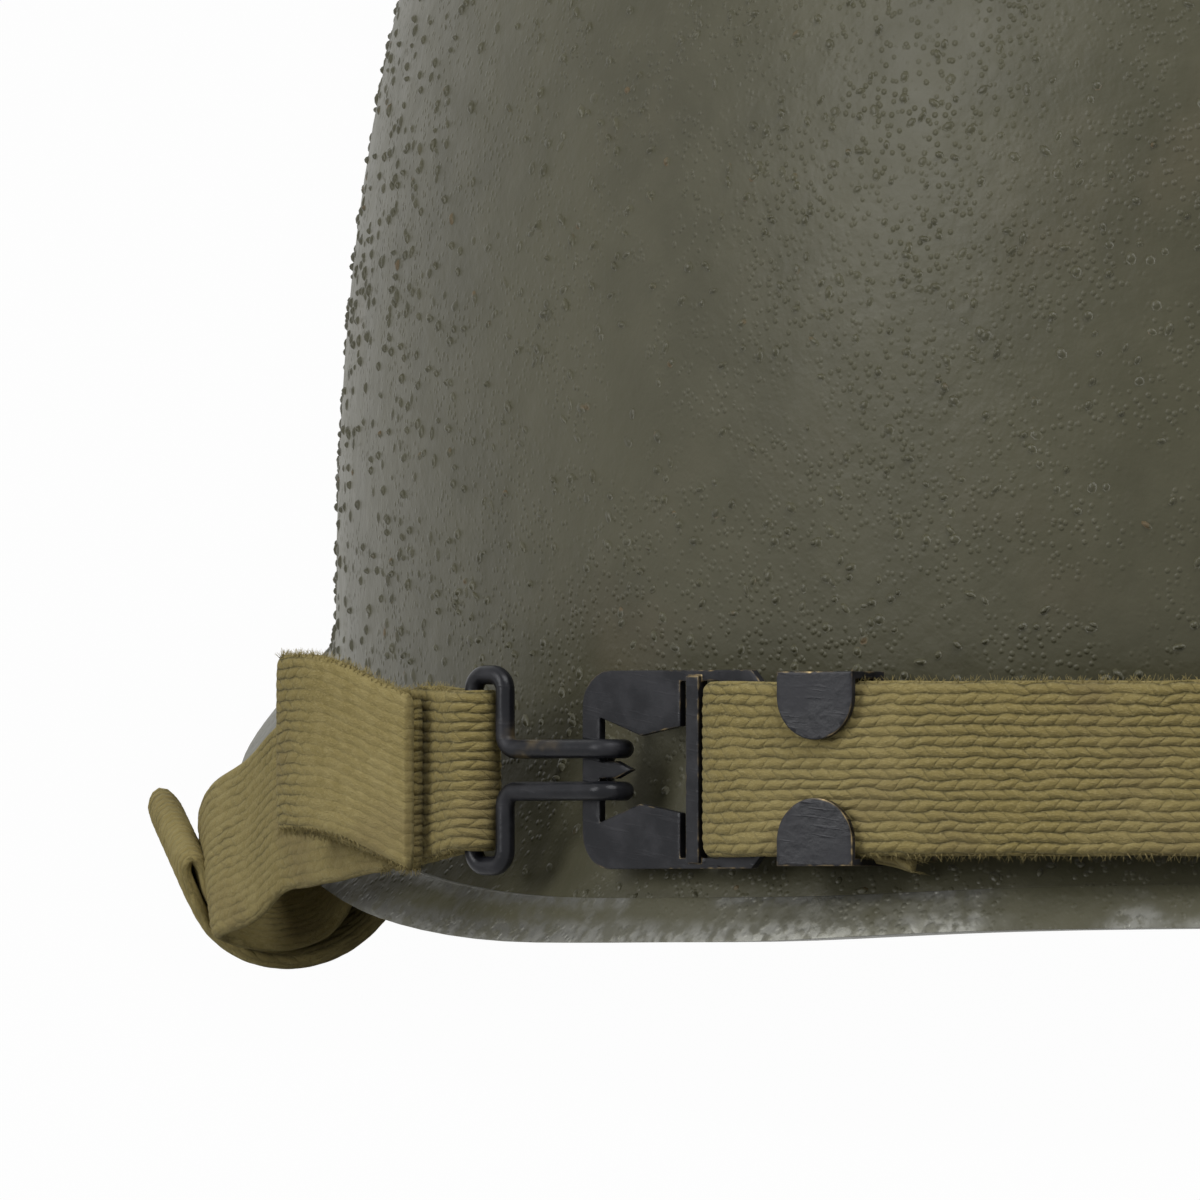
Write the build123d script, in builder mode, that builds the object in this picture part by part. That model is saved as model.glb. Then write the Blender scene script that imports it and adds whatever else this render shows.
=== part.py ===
"""Steel pot helmet with its rim and chin strap.

Millimetres, +Z up. The back of the helmet faces -Y, the visor faces +Y and the wearer's
left is -X. The floor that the rim stands on is Z = 0.
"""
from build123d import *
import math
import os

os.makedirs("parts", exist_ok=True)

# Steel shell
shell_height = 178.0
crown_half_width = 111.0
crown_half_length = 126.5
crown_base = 16.0
crown_power_share = 2.45
steel = 1.1
join_height = 66.0
side_flare = 9.5
back_flare = 9.5
visor_flare = 16.0
side_edge = 1.5
back_edge = 17.0
visor_edge = 27.0
side_flare_height = 18.0
back_flare_height = 16.0
visor_flare_height = 20.0
flare_power_share = 1.7
overrun = 30.0

# Rim strip, crimped over the edge of the shell
strip_steel = 0.6
strip_height = 5.0
strip_gap = 0.05
seam_gap = 0.5

# Chin strap: webbing, and the tilted plane that it runs in
web_width = 19.0
web_ply = 1.8
strap_centre_height = 3.3
strap_tilt_angle = 13.0
strap_half_width = 123.9
strap_half_length = 135.8
soft_gap = 0.25
wrap_angle = 14.0
run_start_angle = 15.5
tail_end_angle = 66.0
wrap_inner_reach = 4.1
wrap_outer_reach = 12.6
wrap_floor_gap = 0.5
wrap_height = 19.5
wrap_bend = 2.0
fold_angle = 34.5
fold_length = 16.0
fold_height = 22.5
fold_wall = 3.6
fold_open_angle = 12.0
fold_bend_share = 0.4
chord_angle = 1.0

# Clasp: wire hook, stamped buckle and sliding keeper
hook_bar_angle = 40.5
buckle_end_angle = 59.2
wire_radius = 1.05
hook_length = 19.8
hook_leg = 4.6
hook_shank = 2.3
hook_return = 4.0
hook_clearance = 0.35
hook_end_length = 5.0
hook_end_width = 17.2
arch_height = 10.4
arch_bend = 1.7
shank_bend = 1.6
curl_bend = 1.85
wire_seam = 0.15
wire_play = 0.2
buckle_length = 27.2
buckle_height = 21.6
buckle_plate = 1.0
buckle_corner = 4.0
buckle_chamfer = 2.2
edge_bar = 2.6
side_bar = 1.2
window_length = 11.9
window_height = 11.4
window_waist = 7.4
bend_gap = 1.3
raised_bar = 1.9
raised_lift = 0.55
web_slot = 2.4
tooth_length = 4.6
tooth_width = 1.9
keeper_angle = 62.7
keeper_width = 9.4
keeper_plate = 0.8
keeper_tongue = 7.4

# Bails that the strap is sewn to, and their brackets
bail_wire = 1.4
bail_half_length = 12.6
bail_bend = 2.4
bail_pivot_height = 15.8
bail_pivot_inset = 3.95
bail_bar_height = 4.0
bail_bar_inset = 0.6
bail_play = 0.08
bail_seam = 0.2
bracket_wall = 1.1
bracket_length = 17.0
bracket_height = 7.0

# Shares of the sizes above, chosen by hand
level_shares = (1, 0.92, 0.82, 0.72, 0.62, 0.52, 0.42, 0.32, 0.22, 0.12, 0.02, -0.07)
rim_back_shares = (
    (-1.07, 1.16), (-1, 1), (-0.94, 0.86), (-0.88, 0.7), (-0.79, 0.52), (-0.69, 0.34),
    (-0.59, 0.23), (-0.5, 0.18), (-0.38, 0.17), (-0.16, 0.17), (0, 0.09),
)
rim_visor_shares = (
    (0.11, 0.012), (0.21, 0), (0.31, 0.03), (0.43, 0.15), (0.56, 0.3), (0.7, 0.48),
    (0.87, 0.78), (1, 1), (1.07, 1.12),
)
dome_shares = (0, 0.14, 0.28, 0.42, 0.56, 0.7, 0.84)

back_reach = crown_half_length + back_flare
visor_reach = crown_half_length + visor_flare
oval_share = crown_half_width / crown_half_length


def wall_reach(height, inset):
    """Distance of the crown's wall from the middle axis at a height, front to back."""
    climb = max(height - crown_base, 0) / (shell_height - crown_base - inset)
    return (crown_half_length - inset) * (1 - climb**crown_power_share) ** (1 / crown_power_share)


def flare_reach(height, flare, edge, flare_height, inset):
    """How far the brim flares past the wall, less what a wall's thickness takes on its slope."""
    depth = max((edge + flare_height - height) / flare_height, 0)
    steep = min(depth, 1)
    reach = flare * (steep**flare_power_share + flare_power_share * (depth - steep))
    slope = flare * flare_power_share / flare_height * steep ** (flare_power_share - 1)
    return reach - inset * (math.hypot(1, slope) - 1)


def oval(plane, half_width, visor_side, back_side):
    """Closed outline of two half ellipses, filled."""
    with BuildSketch(plane) as outline:
        with BuildLine():
            EllipticalCenterArc((0, 0), half_width, visor_side, 0, arc_size=180)
            EllipticalCenterArc((0, 0), half_width, back_side, 180, arc_size=180)
        make_face()
    return outline.sketch


def skirt_form(inset):
    """Solid form of the lower wall and brim, inset from the steel's outer face."""
    sections = []
    for share in level_shares:
        height = join_height * share
        end_wall = wall_reach(height, inset)
        side_wall = end_wall * oval_share
        side = flare_reach(height, side_flare, side_edge, side_flare_height, inset)
        visor = flare_reach(height, visor_flare, visor_edge, visor_flare_height, inset)
        back = flare_reach(height, back_flare, back_edge, back_flare_height, inset)
        sections.append(oval(
            Plane.XY.offset(height), side_wall + side, end_wall + visor, end_wall + back))
    with BuildPart() as form:
        loft(sections)
    return form.part


def skirt_shell(outer_inset, inner_inset):
    """Lower wall and brim between two insets."""
    with BuildPart() as shell:
        add(skirt_form(outer_inset))
        add(skirt_form(inner_inset), mode=Mode.SUBTRACT)
    return shell.part


def dome_curve(side_inset, crown_inset, base):
    """Points and end slopes of half the crown's outline, from its foot to its top."""
    reach = crown_half_length - side_inset
    rise = shell_height - crown_base - crown_inset
    start = math.asin(((base - crown_base) / rise) ** (crown_power_share / 2))
    power_share = 2 / crown_power_share
    points = []
    for share in dome_shares:
        angle = start + (math.pi / 2 - start) * share
        points.append((
            reach * math.cos(angle) ** power_share,
            crown_base + rise * math.sin(angle) ** power_share,
        ))
    top = (0, crown_base + rise)
    foot_slope = (
        -reach * math.cos(start) ** (power_share - 1) * math.sin(start),
        rise * math.sin(start) ** (power_share - 1) * math.cos(start),
    )
    return points + [top], (foot_slope, (-1, 0))


def dome_shell(side_inset, crown_inset, wall, base):
    """Crown above a height: a curved wall turned about the middle axis, drawn in to an oval."""
    outer_points, outer_slopes = dome_curve(side_inset, crown_inset, base)
    inner_points, inner_slopes = dome_curve(side_inset + wall, crown_inset + wall, base)
    with BuildPart() as shell:
        with BuildSketch(Plane.XZ):
            with BuildLine():
                outer = Spline(outer_points, tangents=outer_slopes)
                inner = Spline(inner_points, tangents=inner_slopes)
                Line(outer @ 0, inner @ 0)
                Line(outer @ 1, inner @ 1)
            make_face()
        revolve(axis=Axis.Z)
        scale(by=(oval_share, 1, 1))
    return shell.part


def under_rim(lift):
    """Space below the curved lower edge, raised by a lift."""
    points = [(back_reach * y, back_edge * z + lift) for y, z in rim_back_shares]
    points += [(visor_reach * y, visor_edge * z + lift) for y, z in rim_visor_shares]
    with BuildPart() as space:
        with BuildSketch(Plane.YZ):
            with BuildLine():
                edge = Spline(points)
                back, front = edge @ 0, edge @ 1
                far_back, far_front = back.X - overrun, front.X + 2 * overrun
                Polyline(
                    front, (far_front, front.Y), (far_front, -overrun), (far_back, -overrun),
                    (far_back, back.Y), back)
            make_face()
        extrude(amount=back_reach, both=True)
    return space.part


def side_plane(angle, height):
    """Upright plane through the foot of the wall: X outwards, Y up, Z along the wall."""
    turn = math.radians(angle)
    place = Vector(-crown_half_width * math.cos(turn), -crown_half_length * math.sin(turn), height)
    outward = Vector(-math.cos(turn) / crown_half_width, -math.sin(turn) / crown_half_length, 0)
    return Plane(place, x_dir=outward, z_dir=outward.cross(Vector(0, 0, 1)))


tilt = math.radians(strap_tilt_angle)
strap_plane = Plane(
    (0, 0, strap_centre_height), x_dir=(1, 0, 0), z_dir=(0, math.sin(tilt), math.cos(tilt)))


def strap_point(angle, offset=0):
    """Point of the strap's oval, from the wearer's left round the back, in its own plane."""
    turn = math.radians(angle)
    return Vector(
        -(strap_half_width + offset) * math.cos(turn),
        -(strap_half_length + offset) * math.sin(turn),
    )


def chord_plane(start_angle, end_angle):
    """Plane of a flat piece on the strap: X along it, Y across the web, Z away from the shell."""
    start = strap_plane.from_local_coords(strap_point(start_angle))
    end = strap_plane.from_local_coords(strap_point(end_angle))
    along = end - start
    return Plane((start + end) / 2, x_dir=along, z_dir=along.cross(strap_plane.z_dir))


def strap_band(inner_offset, wall, start_angle, end_angle):
    """Stretch of webbing that stands on edge along the strap's oval."""
    step = (end_angle - start_angle) / 4
    corners = [strap_point(start_angle + step * i, overrun) for i in range(5)]
    with BuildPart() as band:
        with BuildSketch(strap_plane):
            outer_offset = inner_offset + wall
            Ellipse(strap_half_width + outer_offset, strap_half_length + outer_offset)
            Ellipse(strap_half_width + inner_offset, strap_half_length + inner_offset,
                    mode=Mode.SUBTRACT)
            with BuildLine():
                Polyline((0, 0), *corners, close=True)
            make_face(mode=Mode.INTERSECT)
        extrude(amount=web_width / 2, both=True)
    return band.part


def wrap_form(angle):
    """Web that comes out under the rim and turns up outside it."""
    with BuildPart() as wrap:
        with BuildSketch(side_plane(angle, 0)):
            with BuildLine():
                bottom = wrap_floor_gap + web_ply
                FilletPolyline(
                    (wrap_inner_reach, bottom), (wrap_outer_reach, bottom),
                    (wrap_outer_reach, wrap_height), radius=wrap_bend)
                offset(amount=web_ply, side=Side.RIGHT)
            make_face()
        extrude(amount=web_width / 2, both=True)
    return wrap.part


# Steel shell
with BuildPart() as steel_shell:
    add(skirt_shell(0, steel))
    add(dome_shell(0, 0, steel, join_height))
    add(under_rim(strip_steel + strip_gap), mode=Mode.SUBTRACT)
steel_shell.part.label = "steel_shell"
export_step(steel_shell.part, "parts/steel_shell.step")

# Rim strip: a channel crimped over the shell's edge, with its seam at the visor
with BuildPart() as edge_slot:
    add(skirt_shell(-strip_gap, steel + strip_gap))
    add(under_rim(strip_steel), mode=Mode.SUBTRACT)

with BuildPart() as rim_strip:
    add(skirt_shell(-strip_gap - strip_steel, steel + strip_gap + strip_steel))
    add(under_rim(strip_height), mode=Mode.INTERSECT)
    add(under_rim(0), mode=Mode.SUBTRACT)
    add(edge_slot.part, mode=Mode.SUBTRACT)
    with Locations((0, visor_reach, visor_edge)):
        Box(seam_gap, overrun, overrun, mode=Mode.SUBTRACT)
rim_strip.part.label = "rim_strip"
export_step(rim_strip.part, "parts/rim_strip.step")


# Bails and their brackets, on the inside of the brim at each side
pivot = Vector(-bail_pivot_inset, bail_pivot_height)
bar = Vector(-bail_bar_inset, bail_bar_height)
wrap_plane = side_plane(wrap_angle, 0)

with BuildPart() as left_bail_bracket:
    with BuildSketch(wrap_plane):
        with Locations(pivot):
            Circle(bail_wire + bail_play + bracket_wall)
        with Locations((pivot.X / 2, pivot.Y)):
            Rectangle(bail_pivot_inset, bracket_height)
        with Locations(pivot):
            Circle(bail_wire + bail_play, mode=Mode.SUBTRACT)
        with Locations((pivot.X - bail_wire, pivot.Y)):
            Circle(bail_play, mode=Mode.SUBTRACT)
    extrude(amount=bracket_length / 2, both=True)
    add(skirt_form(steel + strip_gap), mode=Mode.INTERSECT)
left_bail_bracket.part.label = "left_bail_bracket"
export_step(left_bail_bracket.part, "parts/left_bail_bracket.step")

with BuildPart() as left_bail:
    with BuildLine(wrap_plane):
        ring = FilletPolyline(
            (pivot.X, pivot.Y, bail_seam), (pivot.X, pivot.Y, bail_half_length),
            (bar.X, bar.Y, bail_half_length), (bar.X, bar.Y, -bail_half_length),
            (pivot.X, pivot.Y, -bail_half_length), (pivot.X, pivot.Y, -bail_seam),
            radius=bail_bend)
    with BuildSketch(Plane(ring @ 0, z_dir=ring % 0)):
        Circle(bail_wire)
    sweep()
left_bail.part.label = "left_bail"
export_step(left_bail.part, "parts/left_bail.step")

with BuildPart() as left_web_bail_end:
    with BuildSketch(wrap_plane):
        tail_length = wrap_inner_reach - soft_gap - bar.X
        with Locations(bar):
            Circle(bail_wire + soft_gap + web_ply)
        with Locations((bar.X + tail_length / 2, wrap_floor_gap + web_ply / 2)):
            Rectangle(tail_length, web_ply)
        with Locations(bar):
            Circle(bail_wire + soft_gap, mode=Mode.SUBTRACT)
    extrude(amount=web_width / 2, both=True)
left_web_bail_end.part.label = "left_web_bail_end"
export_step(left_web_bail_end.part, "parts/left_web_bail_end.step")

# Clasp plane: the hook and the buckle lie flat in it, X from the hook's bar to the keeper
clasp_plane = chord_plane(hook_bar_angle, buckle_end_angle)
half_clasp = (strap_point(buckle_end_angle) - strap_point(hook_bar_angle)).length / 2
wire_level = buckle_plate / 2 + hook_clearance + wire_radius
left_web_wall = 2 * (wire_radius + wire_play) + web_ply / 2
bar_x = -half_clasp
tip_x = bar_x + hook_length
buckle_x = half_clasp - buckle_length
window_x = buckle_x + edge_bar
bend_x = window_x + window_length
raised_x = bend_x + bend_gap
slot_x = raised_x + raised_bar
end_x = slot_x + web_slot

# Left web: doubled, from the hook round to the side, then under the rim to the bail
with BuildPart() as left_web:
    add(strap_band(
        wire_level - left_web_wall / 2, left_web_wall, run_start_angle, hook_bar_angle))
    with BuildSketch(clasp_plane.offset(-overrun)):
        with Locations((bar_x - hook_end_length + overrun, 0)):
            Rectangle(2 * overrun, 2 * overrun)
    extrude(amount=2 * overrun, mode=Mode.SUBTRACT)
    add(wrap_form(wrap_angle))
left_web.part.label = "left_web"
export_step(left_web.part, "parts/left_web.step")

with BuildPart() as left_web_hook_end:
    with BuildSketch(Plane(clasp_plane.from_local_coords((0, 0, wire_level)),
                           x_dir=clasp_plane.x_dir, z_dir=clasp_plane.y_dir)):
        with Locations((bar_x - hook_end_length / 2, 0)):
            Rectangle(hook_end_length, left_web_wall)
        with Locations((bar_x, 0)):
            Circle(wire_radius + wire_play + web_ply)
            Circle(wire_radius + wire_play, mode=Mode.SUBTRACT)
    extrude(amount=hook_end_width / 2, both=True)
left_web_hook_end.part.label = "left_web_hook_end"
export_step(left_web_hook_end.part, "parts/left_web_hook_end.step")

# Folded end of the left web, standing off the strap like a tab
fold_base = chord_plane(fold_angle - chord_angle, fold_angle + chord_angle)
fold_level = wire_level + left_web_wall / 2 + soft_gap
opening = math.radians(fold_open_angle)
fold_hinge = Plane(
    fold_base.from_local_coords((0, 0, fold_level)),
    x_dir=fold_base.x_dir * math.cos(opening) - fold_base.z_dir * math.sin(opening),
    z_dir=fold_base.z_dir * math.cos(opening) + fold_base.x_dir * math.sin(opening))
with BuildPart() as left_web_fold:
    with BuildSketch(fold_hinge):
        with Locations((-fold_length / 2, 0)):
            Rectangle(fold_length, fold_height)
    extrude(amount=fold_wall)
    fillet(left_web_fold.edges().filter_by(Axis(fold_hinge.origin, fold_hinge.y_dir)).sort_by(
        Axis(fold_hinge.origin, fold_hinge.x_dir))[:2], radius=fold_wall * fold_bend_share)
left_web_fold.part.label = "left_web_fold"
export_step(left_web_fold.part, "parts/left_web_fold.step")

# Hook: one length of wire bent round the web, out into two shanks and back behind the buckle
leg_x = bar_x + hook_leg
back_x = tip_x - hook_return
with BuildPart() as hook:
    with BuildLine(clasp_plane):
        half = [
            (bar_x, wire_seam, wire_level), (bar_x, arch_height, wire_level),
            (leg_x, arch_height, wire_level), (leg_x, hook_shank, wire_level),
            (tip_x, hook_shank, wire_level), (tip_x, hook_shank, -wire_level),
            (back_x, hook_shank, -wire_level),
        ]
        bends = [arch_bend, arch_bend, shank_bend, curl_bend, curl_bend, arch_bend]
        wire = FilletPolyline(
            *half, *[(x, -y, z) for x, y, z in reversed(half)], radius=bends + bends[::-1])
    with BuildSketch(Plane(wire @ 0, z_dir=wire % 0)):
        Circle(wire_radius)
    sweep()
hook.part.label = "hook"
export_step(hook.part, "parts/hook.step")

# Buckle: stamped plate with a notched window, a raised bar, a web slot and a guide tooth
with BuildPart() as buckle:
    with BuildSketch(clasp_plane.offset(-buckle_plate / 2)) as plate:
        with Locations(((buckle_x + half_clasp) / 2, 0)):
            Rectangle(buckle_length, buckle_height)
        fillet(plate.vertices().sort_by(
            Axis(clasp_plane.origin, clasp_plane.x_dir))[:2], radius=buckle_corner)
        chamfer(plate.vertices().sort_by(
            Axis(clasp_plane.origin, clasp_plane.x_dir))[-2:], length=buckle_chamfer)
        with BuildLine():
            waist_x = window_x + window_length / 2
            right_height = (window_height + window_waist) / 2
            Polyline(
                (window_x, window_height / 2), (waist_x, window_waist / 2),
                (bend_x, right_height / 2), (bend_x, -right_height / 2),
                (waist_x, -window_waist / 2), (window_x, -window_height / 2), close=True)
        make_face(mode=Mode.SUBTRACT)
        inside_height = buckle_height - 2 * side_bar
        with Locations((bend_x + bend_gap / 2, 0)):
            Rectangle(bend_gap, inside_height, mode=Mode.SUBTRACT)
        with Locations((slot_x + web_slot / 2, 0)):
            Rectangle(web_slot, inside_height, mode=Mode.SUBTRACT)
        with BuildLine():
            Polyline(
                (window_x, tooth_width / 2), (window_x + tooth_length / 2, tooth_width / 2),
                (window_x + tooth_length, 0), (window_x + tooth_length / 2, -tooth_width / 2),
                (window_x, -tooth_width / 2), close=True)
        make_face()
    extrude(amount=buckle_plate)
    with BuildSketch(clasp_plane.offset(buckle_plate / 2)):
        with Locations((raised_x + raised_bar / 2, 0)):
            Rectangle(raised_bar, inside_height + side_bar)
    extrude(amount=raised_lift)
buckle.part.label = "buckle"
export_step(buckle.part, "parts/buckle.step")

# Right web: over the buckle's end bar, round the back, and under the rim to its bail
ply_level = buckle_plate / 2 + soft_gap
with BuildPart() as right_web:
    add(strap_band(ply_level, web_ply, buckle_end_angle, 180 - run_start_angle))
    add(strap_band(-ply_level - web_ply, web_ply, buckle_end_angle, tail_end_angle))
    with BuildSketch(Plane(clasp_plane.origin, x_dir=clasp_plane.x_dir,
                           z_dir=clasp_plane.y_dir)):
        fold_x = end_x - soft_gap - web_ply
        flat_end_x = half_clasp + 2 * soft_gap
        with Locations(((fold_x + flat_end_x) / 2, 0)):
            Rectangle(flat_end_x - fold_x, 2 * (ply_level + web_ply))
        with Locations(((end_x - soft_gap + flat_end_x) / 2, 0)):
            Rectangle(flat_end_x - end_x + soft_gap, 2 * ply_level, mode=Mode.SUBTRACT)
    extrude(amount=inside_height / 2 - wire_play, both=True)
    mirror(wrap_form(wrap_angle), about=Plane.YZ)
right_web.part.label = "right_web"
export_step(right_web.part, "parts/right_web.step")

# Keeper: a plate behind the doubled web, folded over its edges into two tongues in front
keeper_plane = chord_plane(keeper_angle - chord_angle, keeper_angle + chord_angle)
keeper_inner = ply_level + web_ply + soft_gap
keeper_half_height = web_width / 2 + soft_gap + keeper_plate
with BuildPart() as strap_keeper:
    with BuildSketch(keeper_plane.offset(-keeper_inner - keeper_plate)):
        Rectangle(keeper_width, 2 * keeper_half_height)
    extrude(amount=2 * (keeper_inner + keeper_plate))
    with BuildSketch(keeper_plane.offset(-keeper_inner)):
        Rectangle(2 * keeper_width, 2 * (keeper_half_height - keeper_plate))
    extrude(amount=2 * keeper_inner, mode=Mode.SUBTRACT)
    with BuildSketch(keeper_plane.offset(keeper_inner)):
        tongue_end = keeper_half_height - keeper_tongue + keeper_width / 2
        Rectangle(2 * keeper_width, 2 * tongue_end)
        with Locations((0, tongue_end), (0, -tongue_end)):
            Circle(keeper_width / 2, mode=Mode.SUBTRACT)
    extrude(amount=keeper_plate, mode=Mode.SUBTRACT)
strap_keeper.part.label = "strap_keeper"
export_step(strap_keeper.part, "parts/strap_keeper.step")

# Right side pieces are the left ones mirrored
for name, left_piece in (
    ("right_bail_bracket", left_bail_bracket),
    ("right_bail", left_bail),
    ("right_web_bail_end", left_web_bail_end),
):
    with BuildPart() as right_piece:
        mirror(left_piece.part, about=Plane.YZ)
    right_piece.part.label = name
    export_step(right_piece.part, f"parts/{name}.step")

# Where the joints turn
turn = math.radians(keeper_angle)
squares = strap_half_width**2 - strap_half_length**2
curve_centre = strap_plane.from_local_coords((
    -squares / strap_half_width * math.cos(turn) ** 3,
    squares / strap_half_length * math.sin(turn) ** 3, 0))
print("bail pivot", wrap_plane.from_local_coords((pivot.X, pivot.Y, 0)), wrap_plane.z_dir)
print("hook slides along", clasp_plane.x_dir)
print("keeper turns about", curve_centre, strap_plane.z_dir)
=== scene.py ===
# %% [markdown]
# # A deep steel helmet, seen low from behind
#
# The packed model gives the helmet's solid pieces at their real size. This script lights
# them, films them from the photograph's side and gives every surface its finish. It is laid
# out in cells, each with a few words on why the piece is made that way.

# %% Load the packed model
import math
import random

import bmesh
import bpy
from mathutils import Matrix, Vector, kdtree, noise


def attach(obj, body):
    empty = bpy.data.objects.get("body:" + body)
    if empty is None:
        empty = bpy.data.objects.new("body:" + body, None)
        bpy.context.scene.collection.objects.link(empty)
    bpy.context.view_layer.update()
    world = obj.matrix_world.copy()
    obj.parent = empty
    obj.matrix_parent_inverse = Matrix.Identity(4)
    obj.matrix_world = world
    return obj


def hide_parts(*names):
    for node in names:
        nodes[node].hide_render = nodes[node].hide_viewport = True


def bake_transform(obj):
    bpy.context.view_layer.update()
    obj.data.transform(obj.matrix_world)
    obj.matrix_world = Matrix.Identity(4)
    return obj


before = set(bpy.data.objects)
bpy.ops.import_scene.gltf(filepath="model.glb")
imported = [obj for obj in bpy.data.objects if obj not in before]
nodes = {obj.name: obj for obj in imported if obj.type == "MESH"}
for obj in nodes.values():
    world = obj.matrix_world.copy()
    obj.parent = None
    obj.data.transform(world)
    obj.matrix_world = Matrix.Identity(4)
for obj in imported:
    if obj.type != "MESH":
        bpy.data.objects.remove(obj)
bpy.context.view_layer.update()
print("nodes:", ", ".join(sorted(nodes)))

# %% [markdown]
# ## Camera
#
# The photograph is a close view of the left half of the helmet's back, taken from a good way
# off, so its perspective is almost flat. A long lens far away gives the same flat look. The
# camera looks at the middle of the picture, at the depth of the strap.

# %% Camera
MM = 0.001
VIEW_ELEVATION = math.radians(12.5)
VIEW_DISTANCE = 6000 * MM
VIEW_WIDTH = 130.4 * MM
AIM = Vector((-81.8, -100.0, 45.3)) * MM

camera_data = bpy.data.cameras.new("camera")
camera_data.lens = camera_data.sensor_width * VIEW_DISTANCE / VIEW_WIDTH
camera_data.clip_end = 100
camera = bpy.data.objects.new("camera", camera_data)
bpy.context.scene.collection.objects.link(camera)
camera.location = AIM + VIEW_DISTANCE * Vector(
    (0, -math.cos(VIEW_ELEVATION), math.sin(VIEW_ELEVATION)))
camera.rotation_euler = (math.pi / 2 - VIEW_ELEVATION, 0, 0)
bpy.context.scene.camera = camera
bpy.context.scene.view_settings.view_transform = "Standard"
print("lens", round(camera_data.lens), "mm")

# %% [markdown]
# ## Shader sums
#
# A finish on a real surface is a sum of simple patterns: patches, grains, rows of stitches.
# Written as Python sums, such a recipe stays readable. One small class wraps a socket of a
# material's nodes, so that a sum of wires adds the Math nodes that it needs.

# %% A wire between nodes
class Wire:
    """A socket of a node tree. Sums written with it add Math nodes to that tree."""

    def __init__(self, tree, socket=None):
        self.tree = tree
        self.socket = socket

    @staticmethod
    def find(sockets, name):
        """The socket of that name, or at that place, among those that the node uses."""
        used = [socket for socket in sockets if socket.enabled]
        return used[name] if isinstance(name, int) else next(
            socket for socket in used if socket.name == name)

    def node(self, kind, settings=None, inputs=None, output=0):
        """A new node of a kind, with its settings set first and then its inputs."""
        made = self.tree.nodes.new(kind)
        for name, value in (settings or {}).items():
            setattr(made, name, value)
        for name, value in (inputs or {}).items():
            entry = self.find(made.inputs, name)
            if isinstance(value, Wire):
                self.tree.links.new(value.socket, entry)
            else:
                entry.default_value = value
        return Wire(self.tree, self.find(made.outputs, output))

    def maths(self, operation, *values):
        """A Math node for one operation on wires and numbers."""
        return self.node("ShaderNodeMath", {"operation": operation}, dict(enumerate(values)))

    def __add__(self, other):
        return self.maths("ADD", self, other)

    def __sub__(self, other):
        return self.maths("SUBTRACT", self, other)

    def __rsub__(self, other):
        return self.maths("SUBTRACT", other, self)

    def __mul__(self, other):
        return self.maths("MULTIPLY", self, other)

    def __truediv__(self, other):
        return self.maths("DIVIDE", self, other)

    def __pow__(self, other):
        return self.maths("POWER", self, other)

    __radd__ = __add__
    __rmul__ = __mul__

    def smooth(self, low, high):
        """Rises smoothly from 0 at low to 1 at high. With low above high it falls."""
        if low > high:
            return 1 - self.smooth(high, low)
        return self.node(
            "ShaderNodeMapRange", {"interpolation_type": "SMOOTHSTEP"},
            {"Value": self, "From Min": low, "From Max": high})

    def noise(self, scale, detail=2.0, stretch=(1, 1, 1)):
        """Soft noise on these coordinates, with scale lumps to the metre."""
        place = self.node(
            "ShaderNodeVectorMath", {"operation": "MULTIPLY"}, {0: self, 1: stretch})
        return self.node(
            "ShaderNodeTexNoise", None, {"Vector": place, "Scale": scale, "Detail": detail})

    def cells(self, scale):
        """Distance to the middle of the nearest of many scattered cells."""
        return self.node(
            "ShaderNodeTexVoronoi", None, {"Vector": self, "Scale": scale}, "Distance")

    def axis(self, letter):
        """One coordinate of a vector."""
        return self.node("ShaderNodeSeparateXYZ", None, {"Vector": self}, letter)

    def mix(self, low, high):
        """Colour that goes from low to high as this wire goes from 0 to 1."""
        return self.node(
            "ShaderNodeMix", {"data_type": "RGBA"},
            {"Factor": self, "A": low if isinstance(low, Wire) else (*low, 1),
             "B": high if isinstance(high, Wire) else (*high, 1)})


print("a wire can", ", ".join(name for name in vars(Wire) if not name.startswith("_")))

# %% [markdown]
# ## Materials from wires
#
# Paint, cloth and brass take the light in different ways, but each can start as the same
# plain shader with a few constants, and every pattern then enters it as a wire. A height
# could move the mesh itself. At the fineness of paint and yarn a Bump node, which only turns
# the light, looks the same and costs no faces.

# %% A finish and what feeds it
def finish(name, constants, coordinates="Object"):
    """A new material with its constants set. Gives it, its coordinates and its shader."""
    material = bpy.data.materials.new(name)
    material.use_nodes = True
    shader = material.node_tree.nodes["Principled BSDF"]
    for socket, value in constants.items():
        shader.inputs[socket].default_value = value
    start = Wire(material.node_tree)
    if coordinates == "Object":
        place = start.node("ShaderNodeTexCoord", None, None, "Object")
    else:
        place = start.node(
            "ShaderNodeAttribute", {"attribute_name": coordinates}, None, "Vector")
    return material, place, shader


def feed(shader, **wires):
    """Links wires to a shader's inputs. A height goes through a Bump node of its depth."""
    height = wires.pop("Height", None)
    if height:
        wire, depth = height
        wires["Normal"] = wire.node(
            "ShaderNodeBump", None, {"Height": wire, "Distance": depth, "Strength": 1.0})
    for name, wire in wires.items():
        wire.tree.links.new(wire.socket, shader.inputs[name.replace("_", " ")])


# %% [markdown]
# ## Floor and light
#
# The photograph's ground is white all over. A white floor under strong lamps would throw
# light up under the brim, so the floor is grey, and white light of its own is mixed in only
# where the camera or a reflection sees it. It keeps a trace of the helmet's shadow.

# %% Floor
FLOOR_HEIGHT = -10.6 * MM
FLOOR_HALF = 3.0
FLOOR_GREY = (0.4, 0.4, 0.4, 1)
FLOOR_GLOW = 0.98
WHITE = (1, 1, 1, 1)


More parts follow.
